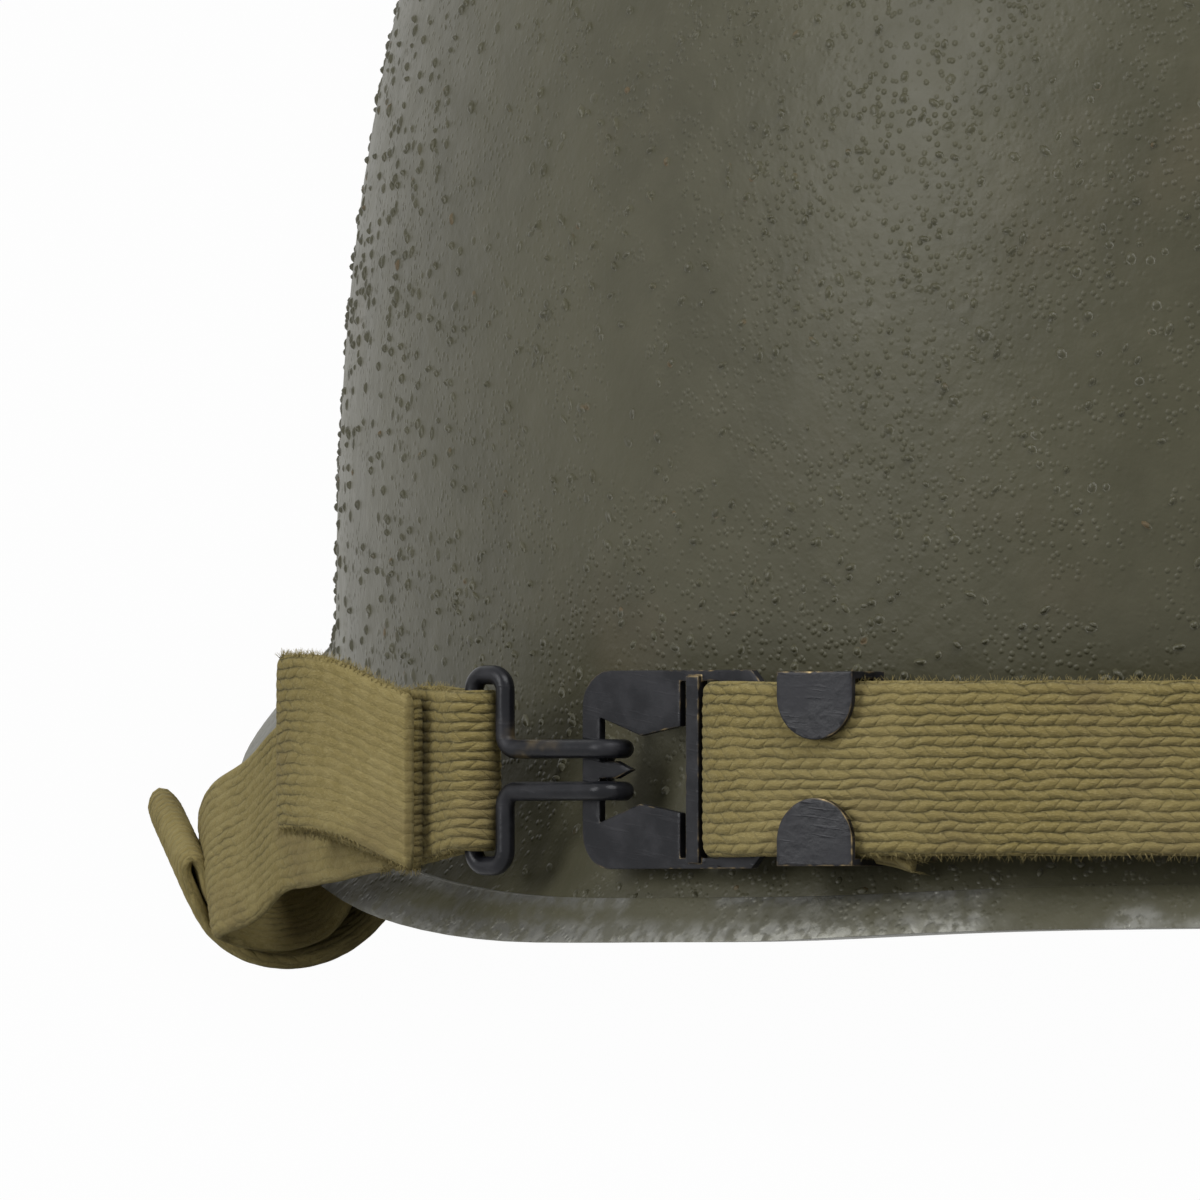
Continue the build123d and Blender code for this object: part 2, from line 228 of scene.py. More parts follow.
def new_object(name, bm, smooth=True):
    """A scene object made of a bmesh."""
    mesh = bpy.data.meshes.new(name)
    bm.to_mesh(mesh)
    bm.free()
    if smooth:
        mesh.shade_smooth()
    made = bpy.data.objects.new(name, mesh)
    bpy.context.scene.collection.objects.link(made)
    return made


bm = bmesh.new()
bmesh.ops.create_grid(bm, x_segments=1, y_segments=1, size=FLOOR_HALF)
bmesh.ops.translate(bm, verts=bm.verts, vec=(0, 0, FLOOR_HEIGHT))
floor = new_object("floor", bm, smooth=False)


def seen(start):
    """1 where the camera, a reflection or glass sees a surface, and 0 for its light."""
    rays = [start.node("ShaderNodeLightPath", None, None, name)
            for name in ("Is Camera Ray", "Is Glossy Ray", "Is Transmission Ray")]
    return rays[0].maths("MAXIMUM", rays[0], rays[1].maths("MAXIMUM", rays[1], rays[2]))


floor_finish, place, shader = finish("floor_white", {
    "Base Color": FLOOR_GREY, "Roughness": 0.9, "Specular IOR Level": 0.1})
glow = place.node("ShaderNodeEmission", None, {"Color": WHITE, "Strength": 1.0})
blend = place.node("ShaderNodeMixShader", None, {
    0: seen(place) * FLOOR_GLOW, 1: Wire(place.tree, shader.outputs[0]), 2: glow})
place.tree.links.new(blend.socket, place.tree.nodes["Material Output"].inputs["Surface"])
floor.data.materials.append(floor_finish)
print("floor", round(FLOOR_HEIGHT / MM, 1), "mm from the rim's level")

# %% [markdown]
# ## Lamps
#
# A tall soft lamp at the far left draws the sheen along the crown's edge, a wide one above
# the back lights the crown, and a weak one at the right keeps the strap from going dark. A
# bright sky could light it all, but without a main side the grains and the stitches cast no
# small shadows, so the sky stays dim and only looks white.

# %% Lamps and sky
HELMET_MIDDLE = Vector((-0.05, -0.05, 0.08))
SKY_LIGHT = 0.12


def area_light(name, place, size, power):
    """A rectangular lamp of so many metres and watts, aimed at the helmet's middle."""
    data = bpy.data.lights.new(name, "AREA")
    data.shape = "RECTANGLE"
    data.size, data.size_y = size
    data.energy = power
    lamp = bpy.data.objects.new(name, data)
    bpy.context.scene.collection.objects.link(lamp)
    lamp.location = place
    lamp.rotation_euler = (HELMET_MIDDLE - Vector(place)).to_track_quat("-Z", "Y").to_euler()


area_light("key", (-1.35, -0.75, 0.75), (0.6, 1.1), 13)
area_light("top", (0.35, -0.75, 1.5), (0.9, 0.7), 14)
area_light("fill", (1.3, -1.1, 0.35), (0.7, 0.7), 1.2)

world = bpy.data.worlds.new("studio")
world.use_nodes = True
ground = Wire(world.node_tree)
background = world.node_tree.nodes["Background"]
background.inputs["Color"].default_value = WHITE
strength = SKY_LIGHT + (1 - SKY_LIGHT) * seen(ground)
ground.tree.links.new(strength.socket, background.inputs["Strength"])
bpy.context.scene.world = world
print("lamps:", len(bpy.data.lights))

# %% [markdown]
# ## Paint over cork
#
# The shell was sprayed with paint, strewn with ground cork while wet and sprayed again. The
# grit lies in clusters and short chains, and between them the paint shows a fine orange
# peel. The paint is a matt olive with soft patches and faint brown stains. A picture of paint
# could be wrapped round the shell, but noise on the object's own coordinates has no seams.
# The coarse grains are real lumps, made further down, and the bump here is what lies between
# them.

# %% Painted steel
OLIVE = (0.078, 0.074, 0.042)
OLIVE_DARK = (0.060, 0.057, 0.032)
OLIVE_PALE = (0.096, 0.091, 0.056)
RUST = (0.088, 0.070, 0.040)
STEEL = (0.19, 0.19, 0.175)
PAINT_RELIEF = 0.35 * MM


def painted_steel(name, grit, wear=None):
    """Olive paint. grit is how much cork shows, and wear gives where it is rubbed off."""
    material, place, shader = finish(name, {"Specular IOR Level": 0.3})
    patches = place.noise(24, 4).smooth(0.3, 0.7)
    mottle = place.noise(150, 3).smooth(0.35, 0.7)
    colour = patches.mix(OLIVE_DARK, OLIVE)
    colour = (mottle * 0.45).mix(colour, OLIVE_PALE)
    colour = (place.noise(38, 3).smooth(0.56, 0.75) * 0.3).mix(colour, RUST)
    peel = place.noise(520, 2)
    fine = place.noise(2400, 2)
    clusters = place.noise(110, 3).smooth(0.35, 0.6)
    grains = place.cells(1050).smooth(0.42, 0.1) * clusters * grit
    gloss = 0.36 + 0.14 * place.noise(210, 2) + 0.1 * grains
    height = 0.30 * peel + 0.06 * fine + 0.30 * grains
    if wear:
        worn = wear(place)
        colour = worn.mix(colour, STEEL)
        gloss = gloss * (1 - worn) + worn * (0.38 + 0.2 * place.noise(900, 2))
        height = height - 0.25 * worn
        feed(shader, Metallic=worn)
    feed(shader, Base_Color=colour, Roughness=gloss, Height=(height, PAINT_RELIEF))
    return material


def rim_wear(place):
    """Bare steel low on the rim, steady along its left half and in spots elsewhere."""
    edge = place.node("ShaderNodeAttribute", {"attribute_name": "edge"}, None, "Fac")
    low = (edge + 1.1 * place.noise(190, 3)).smooth(3.2, 1.2)
    specks = place.noise(600, 3).smooth(0.38, 0.58)
    left = place.axis("X").smooth(-0.035, -0.06) * place.axis("Y").smooth(-0.03, -0.06)
    elsewhere = place.noise(45, 3).smooth(0.52, 0.62)
    where = left.maths("MAXIMUM", left, elsewhere)
    return where * low * (0.3 + 0.5 * specks)


finishes = {
    "textured_paint": painted_steel("textured_paint", 1.0),
    "rim_paint": painted_steel("rim_paint", 0.5, rim_wear),
    "inside_paint": painted_steel("inside_paint", 0.5),
    "bail_steel": painted_steel(
        "bail_steel", 0.1, lambda place: place.noise(300, 3).smooth(0.5, 0.62)),
}
print("painted finishes:", len(finishes))

# %% [markdown]
# ## Shell
#
# The shell is one pressed sheet, round everywhere but at its cut edge. Its packed form is a
# mesh of loose triangles, which would show facets. It could be modelled anew, but a copy
# with its corners merged has exactly the packed size. It is shaded smooth, with sharp edges
# kept sharp, and then stands for the packed piece.

# %% Merged copies
def show(piece, body, slot, *replaced):
    """Gives a finished piece its finish, its body and the CAD nodes that it stands for."""
    piece.data.materials.clear()
    piece.data.materials.append(finishes[slot])
    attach(piece, body)
    if replaced:
        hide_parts(*replaced)
    return piece


SHARP = math.radians(35)
SAME_CORNER = 0.002 * MM


def merged(node):
    """A bmesh of a packed node, with the corners of its triangles joined."""
    bm = bmesh.new()
    bm.from_mesh(nodes[node].data)
    bmesh.ops.remove_doubles(bm, verts=bm.verts, dist=SAME_CORNER)
    return bm


def smooth_copy(node, name):
    """Merged copy of a node, smooth except across its sharp edges."""
    bm = merged(node)
    for edge in bm.edges:
        edge.smooth = len(edge.link_faces) != 2 or edge.calc_face_angle(0) < SHARP
    return new_object(name, bm)


show(smooth_copy("steel_shell", "painted_shell"), "shell", "textured_paint", "steel_shell")

# %% [markdown]
# ## Webbing
#
# The chin strap is cotton webbing, 19 mm wide. Its face shows some sixteen rows of slanted
# stitches, each row half a stitch off from its neighbours, with wavy dark grooves between.
# Modelled yarn by yarn it would take millions of faces. One rule for the height of the weave
# is written twice instead: in Python it raises the rows of the mesh, and as a wire it draws
# the yarns on the same rows.

# %% Weave
WEB_HALF = 9.5
ROW = 1.15
STITCH = 2.3
SLANT = 0.9
WEB_RELIEF = 0.4 * MM


def weave_height(along, across):
    """Height of the weave, 0 in a groove to 1 on a stitch, with both places in mm."""
    row = math.floor(across / ROW)
    inside = across / ROW - row
    stitch = along / STITCH + 0.5 * row + SLANT * (inside - 0.5) * (row % 2 - 0.5)
    lengthwise = math.sin(math.pi * (stitch - math.floor(stitch)))
    return math.sin(math.pi * inside)**0.8 * (0.3 + 0.7 * lengthwise**0.6)


def shaded_weave(place):
    """The same weave as a wire, on coordinates of (along, across, face) in mm."""
    bend = 0.9 * (place.noise(0.35, 2) - 0.5)
    along, rows = place.axis("X"), place.axis("Y") / ROW + bend
    row = rows.maths("FLOOR", rows)
    inside = rows - row
    parity = row - 2 * (row / 2).maths("FLOOR", row / 2)
    stitch = along / STITCH + 0.5 * row + SLANT * (inside - 0.5) * (parity - 0.5)
    turn = (stitch - stitch.maths("FLOOR", stitch)) * math.pi
    beside = (inside * math.pi).maths("SINE", inside * math.pi)
    return beside**0.8 * (0.3 + 0.7 * turn.maths("SINE", turn)**0.6)


print("rows of stitches:", round(2 * WEB_HALF / ROW))

# %% [markdown]
# ## Cloth
#
# The cotton is khaki, pale where it has worn, stained brown in places, and its nap hides the
# weave where it was brushed up. The grooves between the rows are painted darker as painted
# shade, which the nap hides as well. Object coordinates would run straight through a bent
# strap, so the pattern lies on an attribute: each corner of a strip knows how far along the
# web and how far across it is.

# %% Cloth finishes
# The darkest cloth colour is painted shade for the grooves of the weave.
WEB_GROOVE_SHADE = (0.075, 0.062, 0.022)
WEB_GREEN = (0.25, 0.198, 0.07)
WEB_PALE = (0.40, 0.33, 0.15)
WEB_STAIN = (0.10, 0.066, 0.032)


def web_cloth(name, brushed):
    """Khaki webbing. brushed gives how far, from 0 to 1, a nap hides the weave."""
    material, place, shader = finish(name, {
        "Specular IOR Level": 0.15, "Sheen Weight": 0.25, "Sheen Roughness": 0.6,
        "Sheen Tint": (0.75, 0.68, 0.4, 1)}, "weave")
    nap = brushed(place)
    weave = shaded_weave(place)
    fibre = place.noise(2.6, 5, (1, 1.8, 1))
    fuzz = place.noise(7.0, 4)
    # Painted shade: the grooves between the rows go towards the darkest colour, less so where
    # the nap covers them.
    groove = (weave + 0.5 * (place.noise(1.3, 3) - 0.5)).smooth(0.02, 0.55)
    colour = (groove + nap * (1 - groove)).mix(WEB_GROOVE_SHADE, WEB_GREEN)
    colour = (fibre.smooth(0.45, 0.8) * 0.7).mix(colour, WEB_PALE)
    colour = (nap * place.noise(0.6, 4).smooth(0.4, 0.65) * 0.4).mix(colour, WEB_PALE)
    colour = (place.noise(0.07, 3).smooth(0.52, 0.72) * 0.4).mix(colour, WEB_STAIN)
    colour = (place.noise(0.035, 2).smooth(0.35, 0.7) * 0.3).mix(colour, WEB_PALE)
    height = (1 - 0.85 * nap) * weave + 0.4 * fibre + 0.3 * fuzz
    feed(shader, Base_Color=colour, Roughness=0.85 + 0.12 * fuzz,
         Height=(height, WEB_RELIEF))
    return material


finishes["webbing"] = web_cloth(
    "webbing", lambda place: place.noise(0.16, 3).smooth(0.5, 0.7) * 0.45)
finishes["loop_web"] = web_cloth(
    "loop_web", lambda place: 0.3 + place.noise(0.16, 3).smooth(0.35, 0.6) * 0.45)
finishes["tab_web"] = web_cloth("tab_web", lambda place: place.axis("X").smooth(24, 32) * 0.85)
finishes["brushed_web"] = web_cloth("brushed_web", lambda place: place.noise(0.2, 1) * 0.2 + 0.8)
print("finishes:", ", ".join(finishes))

# %% [markdown]
# ## Strips of web
#
# A web lies flat, turns over and goes round wires. A curve with a profile could follow it,
# but such a curve twists as it likes. Here a grid is closed into a flat tube and swept along
# knots. Each knot has a place and the direction across the web, so the strip bends and
# twists only where its knots say.

# %% Sweep along knots
WEB_STEP = 0.6
WEB_WOBBLE = 0.18


def path_through(knots, step):
    """Samples of a smooth path through knots of (place, across, thickness), step apart."""
    ends = [knots[0], *knots, knots[-1]]
    samples = []
    for before, start, end, after in zip(ends, ends[1:], ends[2:], ends[3:]):
        count = max(1, round((end[0] - start[0]).length / step))
        for i in range(count):
            t = i / count
            weights = (
                (2 * t**2 - t - t**3) / 2, (2 - 5 * t**2 + 3 * t**3) / 2,
                (t + 4 * t**2 - 3 * t**3) / 2, (t**3 - t**2) / 2)
            samples.append([
                sum((w * k[part] for w, k in zip(weights, (before, start, end, after))),
                    start=Vector((0, 0, 0)) if part < 2 else 0.0)
                for part in range(3)])
    samples.append([knots[-1][0].copy(), knots[-1][1].copy(), knots[-1][2]])
    return samples


def web_strip(name, knots, half_width=WEB_HALF, relief=0.12):
    """A strip of web through the knots, in mm, that knows each corner's place on the web."""
    samples = path_through(knots, WEB_STEP)
    tangents = []
    for i in range(len(samples)):
        ahead, behind = samples[min(i + 1, len(samples) - 1)][0], samples[max(i - 1, 0)][0]
        tangents.append((ahead - behind).normalized())
    distance = [0.0]
    for a, b in zip(samples, samples[1:]):
        distance.append(distance[-1] + (b[0] - a[0]).length)
    faces_across = round(2 * half_width / (ROW / 4))
    around = 2 * faces_across
    bm = bmesh.new()
    bmesh.ops.create_grid(bm, x_segments=len(samples) - 1, y_segments=around, size=1)
    weave = bm.verts.layers.float_vector.new("weave")
    for vert in bm.verts:
        i = round((vert.co.x + 1) / 2 * (len(samples) - 1))
        j = round((vert.co.y + 1) / 2 * around)
        face = 1 if j < faces_across else -1
        share = (j if face == 1 else around - j) / faces_across
        across = half_width * (2 * share - 1)
        place, width, thickness = samples[i]
        outward = width.cross(tangents[i]).normalized()
        edge = max(1 - abs(2 * share - 1) ** 12, 0) ** 0.5
        lift = face * thickness / 2 * edge
        if edge > 0.5:
            lift += face * relief * (weave_height(distance[i], across) - 0.6)
        wobble = WEB_WOBBLE * noise.noise(Vector((distance[i] / 7, share * 2, 0)))
        vert.co = (place + width * (across + wobble) + outward * lift) * MM
        vert[weave] = (distance[i], across, face)
    bmesh.ops.remove_doubles(bm, verts=bm.verts, dist=0.001 * MM)
    bmesh.ops.holes_fill(bm, edges=[e for e in bm.edges if e.is_boundary], sides=0)
    bmesh.ops.recalc_face_normals(bm, faces=bm.faces)
    print(name, "is", round(distance[-1]), "mm of web")
    return new_object(name, bm)


# %% [markdown]
# ## The strap's line
#
# The strap lies along an oval round the shell, in a plane that rises towards the back. Its
# places could be typed in one by one, but an angle from the wearer's left round the back and
# a distance outside the oval say the same and stay on the oval. The clasp and the folded tab
# sit on straight chords of it.

# %% Places on the strap
STRAP_HALF_WIDTH, STRAP_HALF_LENGTH, STRAP_MIDDLE = 123.9, 135.8, 3.3
STRAP_TILT = math.radians(13)
STRAP_UP = Vector((0, math.sin(STRAP_TILT), math.cos(STRAP_TILT)))


def on_strap(degrees, offset=0.0, lift=0.0):
    """Place at an angle round the strap's oval, so far outside it, in mm."""
    turn = math.radians(degrees)
    forward = -(STRAP_HALF_LENGTH + offset) * math.sin(turn)
    flat = Vector((
        -(STRAP_HALF_WIDTH + offset) * math.cos(turn),
        forward * math.cos(STRAP_TILT), STRAP_MIDDLE - forward * math.sin(STRAP_TILT)))
    return flat + STRAP_UP * lift


class Chord:
    """A straight stretch of the strap between two angles, with its middle as origin."""

    def __init__(self, start, end):
        first, last = on_strap(start), on_strap(end)
        self.middle = (first + last) / 2
        self.half = (last - first).length / 2
        self.along = (last - first).normalized()
        self.outward = self.along.cross(STRAP_UP)

    def place(self, along, outward, lift=0.0):
        """Place so far along the chord, outside it and above it, in mm."""
        return self.middle + self.along * along + self.outward * outward + STRAP_UP * lift


clasp = Chord(40.5, 59.2)
tab_chord = Chord(33.5, 35.5)
PLY = 1.7
WIRE_LEVEL = 1.9
SLOT_FROM_END = 7.1
bar_x = -clasp.half
buckle_end_x = clasp.half
slot_end_x = clasp.half - SLOT_FROM_END
print("clasp is", round(2 * clasp.half, 1), "mm long")


def knot(place, across=STRAP_UP, thickness=PLY, width=1.0):
    """A knot of a strip. width scales the web's own width there."""
    return place, Vector(across).normalized() * width, thickness


# %% [markdown]
# ## Right web
#
# The long web's frayed tail lies inside. From there it goes out through the buckle's slot,
# turns, and runs over its own tail round the back to the right side. Two strips could lie
# over each other, but one strip through all those knots has a true turn in the slot.

# %% Right web
right_knots = [
    knot(on_strap(67.2, -1.75, -1.9), (0.05, 0.28, 0.95)),
    knot(on_strap(65.5, -1.7, -1.1)), knot(on_strap(63, -1.65, -0.3)),
    knot(clasp.place(buckle_end_x, -1.65)), knot(clasp.place(slot_end_x + 0.6, -1.6)),
    knot(clasp.place(slot_end_x - 1.15, 0)), knot(clasp.place(slot_end_x + 0.6, 1.6)),
    knot(clasp.place(buckle_end_x, 1.65))]
right_knots += [knot(on_strap(62.5 + 5.5 * i, 1.6)) for i in range(15)]
right_knots += [knot(on_strap(143.2, 1.2, -0.8)), knot(on_strap(147.0, 1.0, -1.6))]
right_web = web_strip("right_web_band", right_knots)
show(right_web, "shell", "webbing", "right_web")


# %% [markdown]
# ## Ends of the strap
#
# At each side the web turns down round the rim, runs under it, goes round the bar of the
# bail and comes back outside as a sewn tail that curls away. The strip twists as it goes:
# its upper edge turns forward. In the packed model this end is stiff and swings with the
# bail.

# %% Loops round the rim
def loop_knots(side):
    """Knots from the strap round the rim to the bail and back, on side -1 or 1."""
    strap = [(34, 2.7, -1.5), (30.5, 2.8, -2.2), (27, 2.8, -3.0), (23.5, 3.0, -3.8)]
    knots = [knot(on_strap(angle, offset, lift)) for angle, offset, lift in strap]
    knots += [knot(Vector(place), across) for place, across in (
        ((-119.9, -46.5, 6.6), (0.0, 0.42, 0.90)),
        ((-123.8, -39.5, 2.6), (-0.05, 0.66, 0.75)),
        ((-124.3, -34.5, -0.8), (-0.12, 0.84, 0.53)),
        ((-121.8, -32.6, -3.1), (-0.18, 0.90, 0.40)),
        ((-117.6, -31.6, -3.8), (-0.21, 0.91, 0.36)),
        ((-113.6, -31.2, -3.0), (-0.21, 0.94, 0.26)),
        ((-111.3, -31.0, -0.8), (-0.21, 0.965, 0.12)),
        ((-110.6, -31.0, 1.6), (-0.21, 0.977, 0)),
        ((-110.4, -31.0, 4.0), (-0.21, 0.977, 0)),
        ((-107.8, -30.5, 6.6), (-0.21, 0.977, 0)),
        ((-105.2, -29.9, 4.0), (-0.21, 0.977, 0)),
        ((-105.6, -30.0, 1.0), (-0.21, 0.977, 0)),
        ((-107.4, -30.4, -2.4), (-0.21, 0.965, 0.12)),
        ((-111.6, -30.7, -5.1), (-0.21, 0.94, 0.26)),
        ((-116.8, -30.9, -6.0), (-0.20, 0.91, 0.36)),
        ((-122.0, -30.8, -5.4), (-0.2, 0.91, 0.36)),
        ((-125.8, -29.8, -3.4), (-0.2, 0.92, 0.32)),
        ((-128.0, -29.0, -0.4), (-0.2, 0.94, 0.26)),
        ((-129.2, -28.0, 2.4), (-0.2, 0.96, 0.2)),
        ((-128.5, -28.0, 3.9), (-0.2, 0.96, 0.2)),
        ((-127.2, -28.0, 2.8), (-0.2, 0.96, 0.2)),
        ((-126.2, -28.7, -0.2), (-0.2, 0.95, 0.24)),
        ((-124.4, -29.4, -2.6), (-0.2, 0.94, 0.28)))]
    if side == 1:
        for place, across, thickness in knots:
            place.x, across.x = -place.x, -across.x
    return knots


def bail_loop(name, side, replaced):
    """The strap's end on one side, one strip from the strap round the rim to the bail and back.
    """
    loop = web_strip(name, loop_knots(side))
    loop.data.materials.append(finishes["loop_web"])
    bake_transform(loop)
    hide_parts(replaced)


bail_loop("left_web_loop", -1, "left_web_bail_end")
bail_loop("right_web_loop", 1, "right_web_bail_end")

# %% [markdown]
# ## Left web
#
# On the left, the web is doubled from the wire hook's crossbar back to the tab. One strip
# that comes in outside, goes round the bar and goes back inside makes both layers.

# %% Left web
left_knots = [
    knot(on_strap(angle, 2.75, (angle - 38) / 3)) for angle in (33.6, 35.4, 37.2)]
left_knots += [knot(clasp.place(bar_x + along, outward), width=0.925) for along, outward in (
    (-1.0, WIRE_LEVEL + 2.0), (1.2, WIRE_LEVEL + 1.75),
    (2.15, WIRE_LEVEL), (1.2, WIRE_LEVEL - 1.75), (-1.0, WIRE_LEVEL - 2.0))]
left_knots += [
    knot(on_strap(angle, 1.0, (angle - 38) / 3)) for angle in (37.2, 35.4, 33.6)]
left_web = web_strip("left_web_band", left_knots)
left_web.data.materials.append(finishes["webbing"])
clasp.place(bar_x - 5.0, 0) * MM
clasp.place(bar_x - 0.5, 0) * MM
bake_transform(left_web)
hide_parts("left_web", "left_web_hook_end")

# %% [markdown]
# ## Tab
#
# The tab is the web's folded end. It stands off the strap, and beyond its fold it is brushed
# to a felt. Two flat pieces would look cut, so one strip goes out, turns and comes back.

# %% Tab
tab_knots = [
    knot(tab_chord.place(along, outward, lift), (0.0, 0.20, 0.98)) for along, outward, lift in (
        (8.0, 4.7, -1.4), (4.5, 4.9, -0.8), (0.5, 5.2, 0.2), (-4.0, 5.8, 1.4),
        (-9.0, 7.0, 2.6), (-11.7, 8.4, 3.0), (-11.0, 9.9, 3.1), (-7.5, 10.4, 3.2),
        (-3.0, 10.3, 3.0), (1.0, 9.6, 2.2), (5.0, 8.2, 0.6), (9.2, 6.3, -1.3))]
tab = web_strip("left_web_tab", tab_knots, 9.6, 0.08)
show(tab, "shell", "tab_web", "left_web_fold")

# %% [markdown]
# ## Clasp and rim
#
# The buckle and the keeper are stamped brass, blackened, and rubbed back to bright metal
# along their edges. A shader could guess edges from the mesh's curvature, but this has to
# work at any number of faces. So the copy of a stamped piece is cut into small faces, and
# every corner keeps its distance to the nearest sharp edge. The shader shows brass where
# that distance is small and the rubbing has reached. The rim strip is worn in the same way,
# along its lower edge only.

# %% Blackened brass
BRASS = (0.42, 0.31, 0.15)
BLACKENED = (0.009, 0.0095, 0.012)
BLACKENED_PALE = (0.028, 0.028, 0.032)


def blackened(name, rubbing, reach):
    """Blackened brass, rubbed bright within reach (mm) of its edges, as far as rubbing says."""
    material, place, shader = finish(name, {"Specular IOR Level": 0.22})
    edge = place.node("ShaderNodeAttribute", {"attribute_name": "edge"}, None, "Fac")
    smudge = place.noise(260, 4).smooth(0.4, 0.75)
    scratch = place.noise(700, 2, (0.25, 0.25, 3)).smooth(0.55, 0.8)
    rubbed = (edge + 0.5 * place.noise(420, 3)).smooth(reach + 0.30, reach * 0.2 + 0.12)
    rubbed = rubbed * rubbing(place)
    dark = (smudge * 0.7 + 0.3 * scratch).mix(BLACKENED, BLACKENED_PALE)
    gloss = 0.30 + 0.22 * smudge
    feed(shader, Base_Color=rubbed.mix(dark, BRASS), Metallic=0.15 + 0.75 * rubbed,
         Roughness=gloss, Height=(place.noise(900, 3) + 0.4 * scratch, 0.06 * MM))
    return material


finishes["blackened_brass"] = blackened(
    "blackened_brass", lambda place: place.noise(140, 3).smooth(0.42, 0.6), 0.16)
finishes["blackened_wire"] = blackened(
    "blackened_wire", lambda place: 0.6 * place.noise(160, 3).smooth(0.5, 0.64), 0.9)
print("finishes:", len(finishes))

# %% [markdown]
# ## Worn edges
#
# A stamped edge is never quite sharp, and that is where the light catches it. The copy's
# flat faces are joined again, its sharp edges are marked and rounded, and then its faces are
# halved until none is longer than the wear's pattern needs. A Bevel modifier would round the
# edges too, but only a mesh at hand can be measured against the marks.

# %% Stamped copies
DOWNWARD = -0.6
CUTTING_ROUNDS = 6
LONGEST = 1.6


def worn_copy(node, name, cell, bevel, low_only=False):
    """Beveled copy of a node in small faces that knows the distance to its edges, in mm.
    With low_only, the edges that count are those of faces that look down."""
    bm = merged(node)
    bmesh.ops.dissolve_limit(
        bm, angle_limit=math.radians(1), verts=bm.verts, edges=bm.edges)
    sharp = [e for e in bm.edges if len(e.link_faces) == 2 and e.calc_face_angle(0) > SHARP]
    marks = []
    for edge in sharp:
        if low_only and min(face.normal.z for face in edge.link_faces) > DOWNWARD:
            continue
        a, b = (vert.co.copy() for vert in edge.verts)
        count = max(1, int((b - a).length / (cell * MM)))
        marks += [a.lerp(b, i / count) for i in range(count + 1)]
    tree = kdtree.KDTree(len(marks))
    for i, mark in enumerate(marks):
        tree.insert(mark, i)
    tree.balance()
    if bevel:
        bmesh.ops.bevel(
            bm, geom=sharp, offset=bevel * MM, segments=2, profile=0.5, affect="EDGES",
            material=-1, clamp_overlap=True)
    bmesh.ops.triangulate(bm, faces=bm.faces)
    for _ in range(CUTTING_ROUNDS):
        long = [e for e in bm.edges if e.calc_length() > LONGEST * cell * MM]
        if not long:
            break
        bmesh.ops.subdivide_edges(bm, edges=long, cuts=1)
        bmesh.ops.triangulate(bm, faces=bm.faces)
    layer = bm.verts.layers.float.new("edge")
    for vert in bm.verts:
        vert[layer] = tree.find(vert.co)[2] / MM
    for edge in bm.edges:
        edge.smooth = len(edge.link_faces) != 2 or edge.calc_face_angle(0) < SHARP
    print(name, "has", len(bm.faces), "faces")
    return new_object(name, bm)


show(worn_copy("buckle", "stamped_buckle", 0.45, 0.14), "shell", "blackened_brass", "buckle")
show(worn_copy("strap_keeper", "folded_keeper", 0.4, 0.1), "keeper", "blackened_brass",
     "strap_keeper")
show(worn_copy("rim_strip", "crimped_rim", 1.6, 0.22, True), "shell", "rim_paint",
     "rim_strip")

# %% [markdown]
# ## Wire pieces and brackets
#
# The hook and the bails are bent from round wire, which has no edges where rubbing could
# start. The hook is rubbed along its shanks, so its corners keep their distance from a place
# there instead. The brackets inside the brim carry the shell's paint.

# %% Wire pieces and brackets
RUB_REACH = 9.0


def wire_copy(node, name, rub_place=None):
    """Smooth copy of a wire piece. It is rubbed near a place, and has no sharp edges."""
    bm = merged(node)
    layer = bm.verts.layers.float.new("edge")
    for vert in bm.verts:
        away = (vert.co / MM - rub_place).length if rub_place else RUB_REACH
        vert[layer] = away / RUB_REACH
    return new_object(name, bm)


shanks = clasp.place(bar_x + 10, WIRE_LEVEL)
hook = show(wire_copy("hook", "wire_hook", shanks), "hook", "blackened_wire", "hook")
print("hook has", len(hook.data.polygons), "faces")
for side in ("left", "right"):
    show(wire_copy(f"{side}_bail", f"{side}_wire_bail"), f"{side}_bail", "bail_steel",
         f"{side}_bail")
    show(smooth_copy(f"{side}_bail_bracket", f"{side}_bracket"), "shell", "inside_paint",
         f"{side}_bail_bracket")

# %% [markdown]
# ## Cork grit
#
# The coarse grains stand up to half a millimetre out of the paint and break the outline of
# the crown. A bump would leave that outline smooth, so they are real lumps. Geometry nodes
# scatter a low dome over the shell's outer faces, more of them where a noise runs in clusters
# and chains, each turned and stretched by its own random numbers. The result is kept as a
# plain mesh.

# %% A grain and its scattering
GRAIN_HEIGHT = 0.36
GRAINS_PER_SQUARE_METRE = 620000.0
DOME_CENTRE = 60 * MM
LEAST_OUTWARD = 0.12


def grain_dome():
    """A low painted lump, 1 mm across, with a flared foot that sinks into the paint."""
    bm = bmesh.new()
    bmesh.ops.create_uvsphere(bm, u_segments=7, v_segments=4, radius=0.5 * MM)
    bmesh.ops.bisect_plane(
        bm, geom=bm.verts[:] + bm.edges[:] + bm.faces[:], plane_co=(0, 0, 0),
        plane_no=(0, 0, 1), clear_inner=True)
    foot = [vert for vert in bm.verts if abs(vert.co.z) < 0.01 * MM]
    bmesh.ops.scale(bm, verts=foot, vec=(1.3, 1.3, 1))
    bmesh.ops.translate(bm, verts=foot, vec=(0, 0, -0.06 * MM))
    bmesh.ops.scale(bm, verts=bm.verts, vec=(1, 1, 2 * GRAIN_HEIGHT))
    return new_object("grain", bm)


def outer_faces(name, keep):
    """Copy of the shell's outer faces that pass a test on their middle."""
    bm = bmesh.new()
    bm.from_mesh(bpy.data.objects["painted_shell"].data)
    inner = []
    for face in bm.faces:
        middle = face.calc_center_median()
        away = Vector((middle.x, middle.y, max(middle.z - DOME_CENTRE, 0))).normalized()
        if face.normal.dot(away) < LEAST_OUTWARD or not keep(middle / MM):
            inner.append(face)
    bmesh.ops.delete(bm, geom=inner, context="FACES")
    return new_object(name, bm)


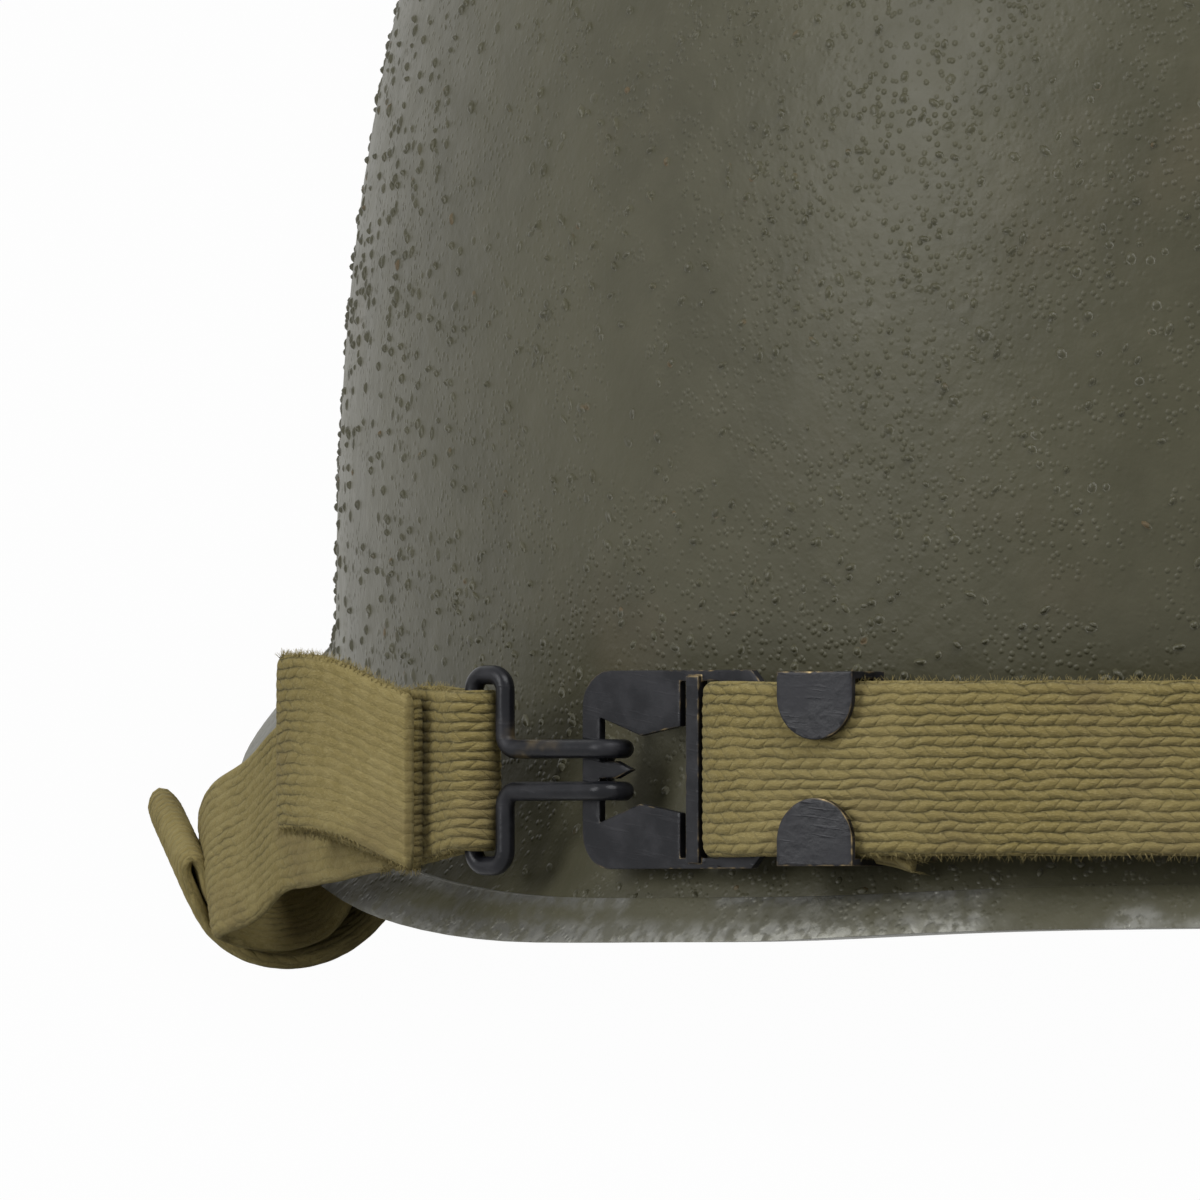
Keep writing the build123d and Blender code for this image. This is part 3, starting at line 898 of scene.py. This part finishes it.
def scatter(name, ground, grain, seed):
    """Grains scattered over a ground, as a plain mesh."""
    group = bpy.data.node_groups.new(name, "GeometryNodeTree")
    group.interface.new_socket("Geometry", in_out="INPUT", socket_type="NodeSocketGeometry")
    group.interface.new_socket("Geometry", in_out="OUTPUT", socket_type="NodeSocketGeometry")
    start = Wire(group)
    surface = start.node("NodeGroupInput", None, None, "Geometry")
    where = start.node("GeometryNodeInputPosition", None, None, 0)
    clusters = where.noise(45, 2).smooth(0.34, 0.62)
    vein = where.noise(230, 1.5) - 0.5
    chains = vein.maths("ABSOLUTE", vein).smooth(0.06, 0.015)
    density = GRAINS_PER_SQUARE_METRE * (0.10 + 0.25 * clusters) * (0.15 + 0.85 * chains)
    points = start.node(
        "GeometryNodeDistributePointsOnFaces", {"distribute_method": "RANDOM"},
        {"Mesh": surface, "Density": density, "Seed": seed}, "Points")
    rotation = points.socket.node.outputs["Rotation"]
    shape = start.node("GeometryNodeObjectInfo", None, {"Object": grain}, "Geometry")
    size = start.node(
        "FunctionNodeRandomValue", {"data_type": "FLOAT_VECTOR"},
        {"Min": (0.6, 0.5, 0.4), "Max": (1.5, 1.1, 1.3), "Seed": seed + 1}, "Value")
    turn = start.node(
        "FunctionNodeRandomValue", {"data_type": "FLOAT_VECTOR"},
        {"Min": (0, 0, 0), "Max": (0, 0, math.tau), "Seed": seed + 2}, "Value")
    turned = start.node(
        "FunctionNodeRotateRotation", {"rotation_space": "LOCAL"},
        {"Rotation": Wire(group, rotation), "Rotate By": turn}, "Rotation")
    lumps = start.node(
        "GeometryNodeInstanceOnPoints", None,
        {"Points": points, "Instance": shape, "Rotation": turned, "Scale": size},
        "Instances")
    real = start.node("GeometryNodeRealizeInstances", None, {"Geometry": lumps}, "Geometry")
    end = group.nodes.new("NodeGroupOutput")
    group.links.new(real.socket, end.inputs[0])
    modifier = ground.modifiers.new("grains", "NODES")
    modifier.node_group = group
    grown = ground.evaluated_get(bpy.context.evaluated_depsgraph_get())
    mesh = bpy.data.meshes.new_from_object(grown)
    mesh.shade_smooth()
    made = bpy.data.objects.new(name, mesh)
    bpy.context.scene.collection.objects.link(made)
    bpy.data.objects.remove(ground)
    print(name, "has", len(mesh.polygons), "faces")
    return made


# %% [markdown]
# ## Finish of the grains
#
# A grain is painted like the shell, and here and there the paint has gone from its tip and
# shows brown cork. It could share the shell's paint, but that draws fine grains of its own,
# so the lumps get a plainer one.

# %% Grains on the shell
CORK_BROWN = (0.13, 0.085, 0.04)


def cork_finish():
    """Paint on a grain. Here and there the brown cork shows through at the tip."""
    material, place, shader = finish("cork_grain", {"Specular IOR Level": 0.3})
    bare = place.noise(420, 1).smooth(0.66, 0.74) * 0.6
    colour = place.noise(150, 2).smooth(0.3, 0.7).mix(OLIVE_DARK, OLIVE)
    feed(shader, Base_Color=bare.mix(colour, CORK_BROWN), Roughness=0.38 + 0.3 * bare,
         Height=(place.noise(1500, 2), 0.12 * MM))
    return material


finishes["cork_grain"] = cork_finish()
grain = grain_dome()
for name, seed, keep in (
    ("cork_back_left", 3, lambda at: at.y < 0 and at.x < 0),
    ("cork_back_right", 5, lambda at: at.y < 0 and at.x >= 0),
    ("cork_front_left", 8, lambda at: at.y >= 0 and at.x < 0),
    ("cork_front_right", 9, lambda at: at.y >= 0 and at.x >= 0),
):
    grains = scatter(name, outer_faces(name + "_ground", keep), grain, seed)
    show(grains, "shell", "cork_grain")
bpy.data.objects.remove(grain)

# %% [markdown]
# ## Fuzz
#
# Old cotton web is hairy along its edges and at its cut end. Blender's hair curves could
# grow there, but they would have to become a mesh in the end. Each hair is a thin tapered
# cone that leans out of the web, seeded so that every run gives the same hairs.

# %% Hairs
HAIR_STEP = 0.65
HAIR_SUNK = 0.15
ROOT_RADIUS = 0.04
TIP_RADIUS = 0.012


def hairs(name, knots, count, long, seed, ends_only=False):
    """Hairs along both edges of a strip's knots, or at its first end only."""
    rolls = random.Random(seed)
    samples = path_through(knots, HAIR_STEP)
    bm = bmesh.new()
    weave = bm.verts.layers.float_vector.new("weave")
    for _ in range(count):
        i = rolls.randrange(3 if ends_only else len(samples) - 1)
        place, width, thickness = samples[i]
        tangent = (samples[i + 1][0] - place).normalized()
        outward = width.cross(tangent).normalized()
        side = rolls.uniform(-1, 1) if ends_only else rolls.choice((-1, 1))
        away = -1.4 * tangent if ends_only else side * width
        lean = (away + 0.9 * rolls.uniform(-1, 1) * tangent
                + 0.9 * rolls.uniform(-1, 1) * outward + 0.4 * rolls.uniform(-1, 1) * width)
        length = long * rolls.uniform(0.35, 1)
        root = place + width * side * WEB_HALF * 0.985 + outward * thickness * rolls.uniform(
            -0.35, 0.35)
        made = bmesh.ops.create_cone(
            bm, segments=3, radius1=ROOT_RADIUS, radius2=TIP_RADIUS, depth=length,
            cap_ends=True,
            matrix=Matrix.Translation(root) @ lean.to_track_quat("Z", "Y").to_matrix().to_4x4()
            @ Matrix.Translation((0, 0, length / 2 - HAIR_SUNK)))
        for vert in made["verts"]:
            vert[weave] = (i * HAIR_STEP, side * WEB_HALF, 1)
    bmesh.ops.scale(bm, verts=bm.verts, vec=(MM, MM, MM))
    return new_object(name, bm)


for name, knots, count, long, seed, ends_only in (
    ("right_web_fuzz", right_knots[8:], 2600, 1.2, 11, False),
    ("tail_fray", right_knots[:3], 220, 2.8, 12, True),
    ("tab_fuzz", tab_knots, 1900, 1.3, 13, False),
    ("left_web_fuzz", left_knots[:4], 420, 1.1, 14, False),
):
    fuzz = hairs(name, knots, count, long, seed, ends_only)
    show(fuzz, "shell", "brushed_web")
    print(name, "has", count, "hairs")

# %% [markdown]
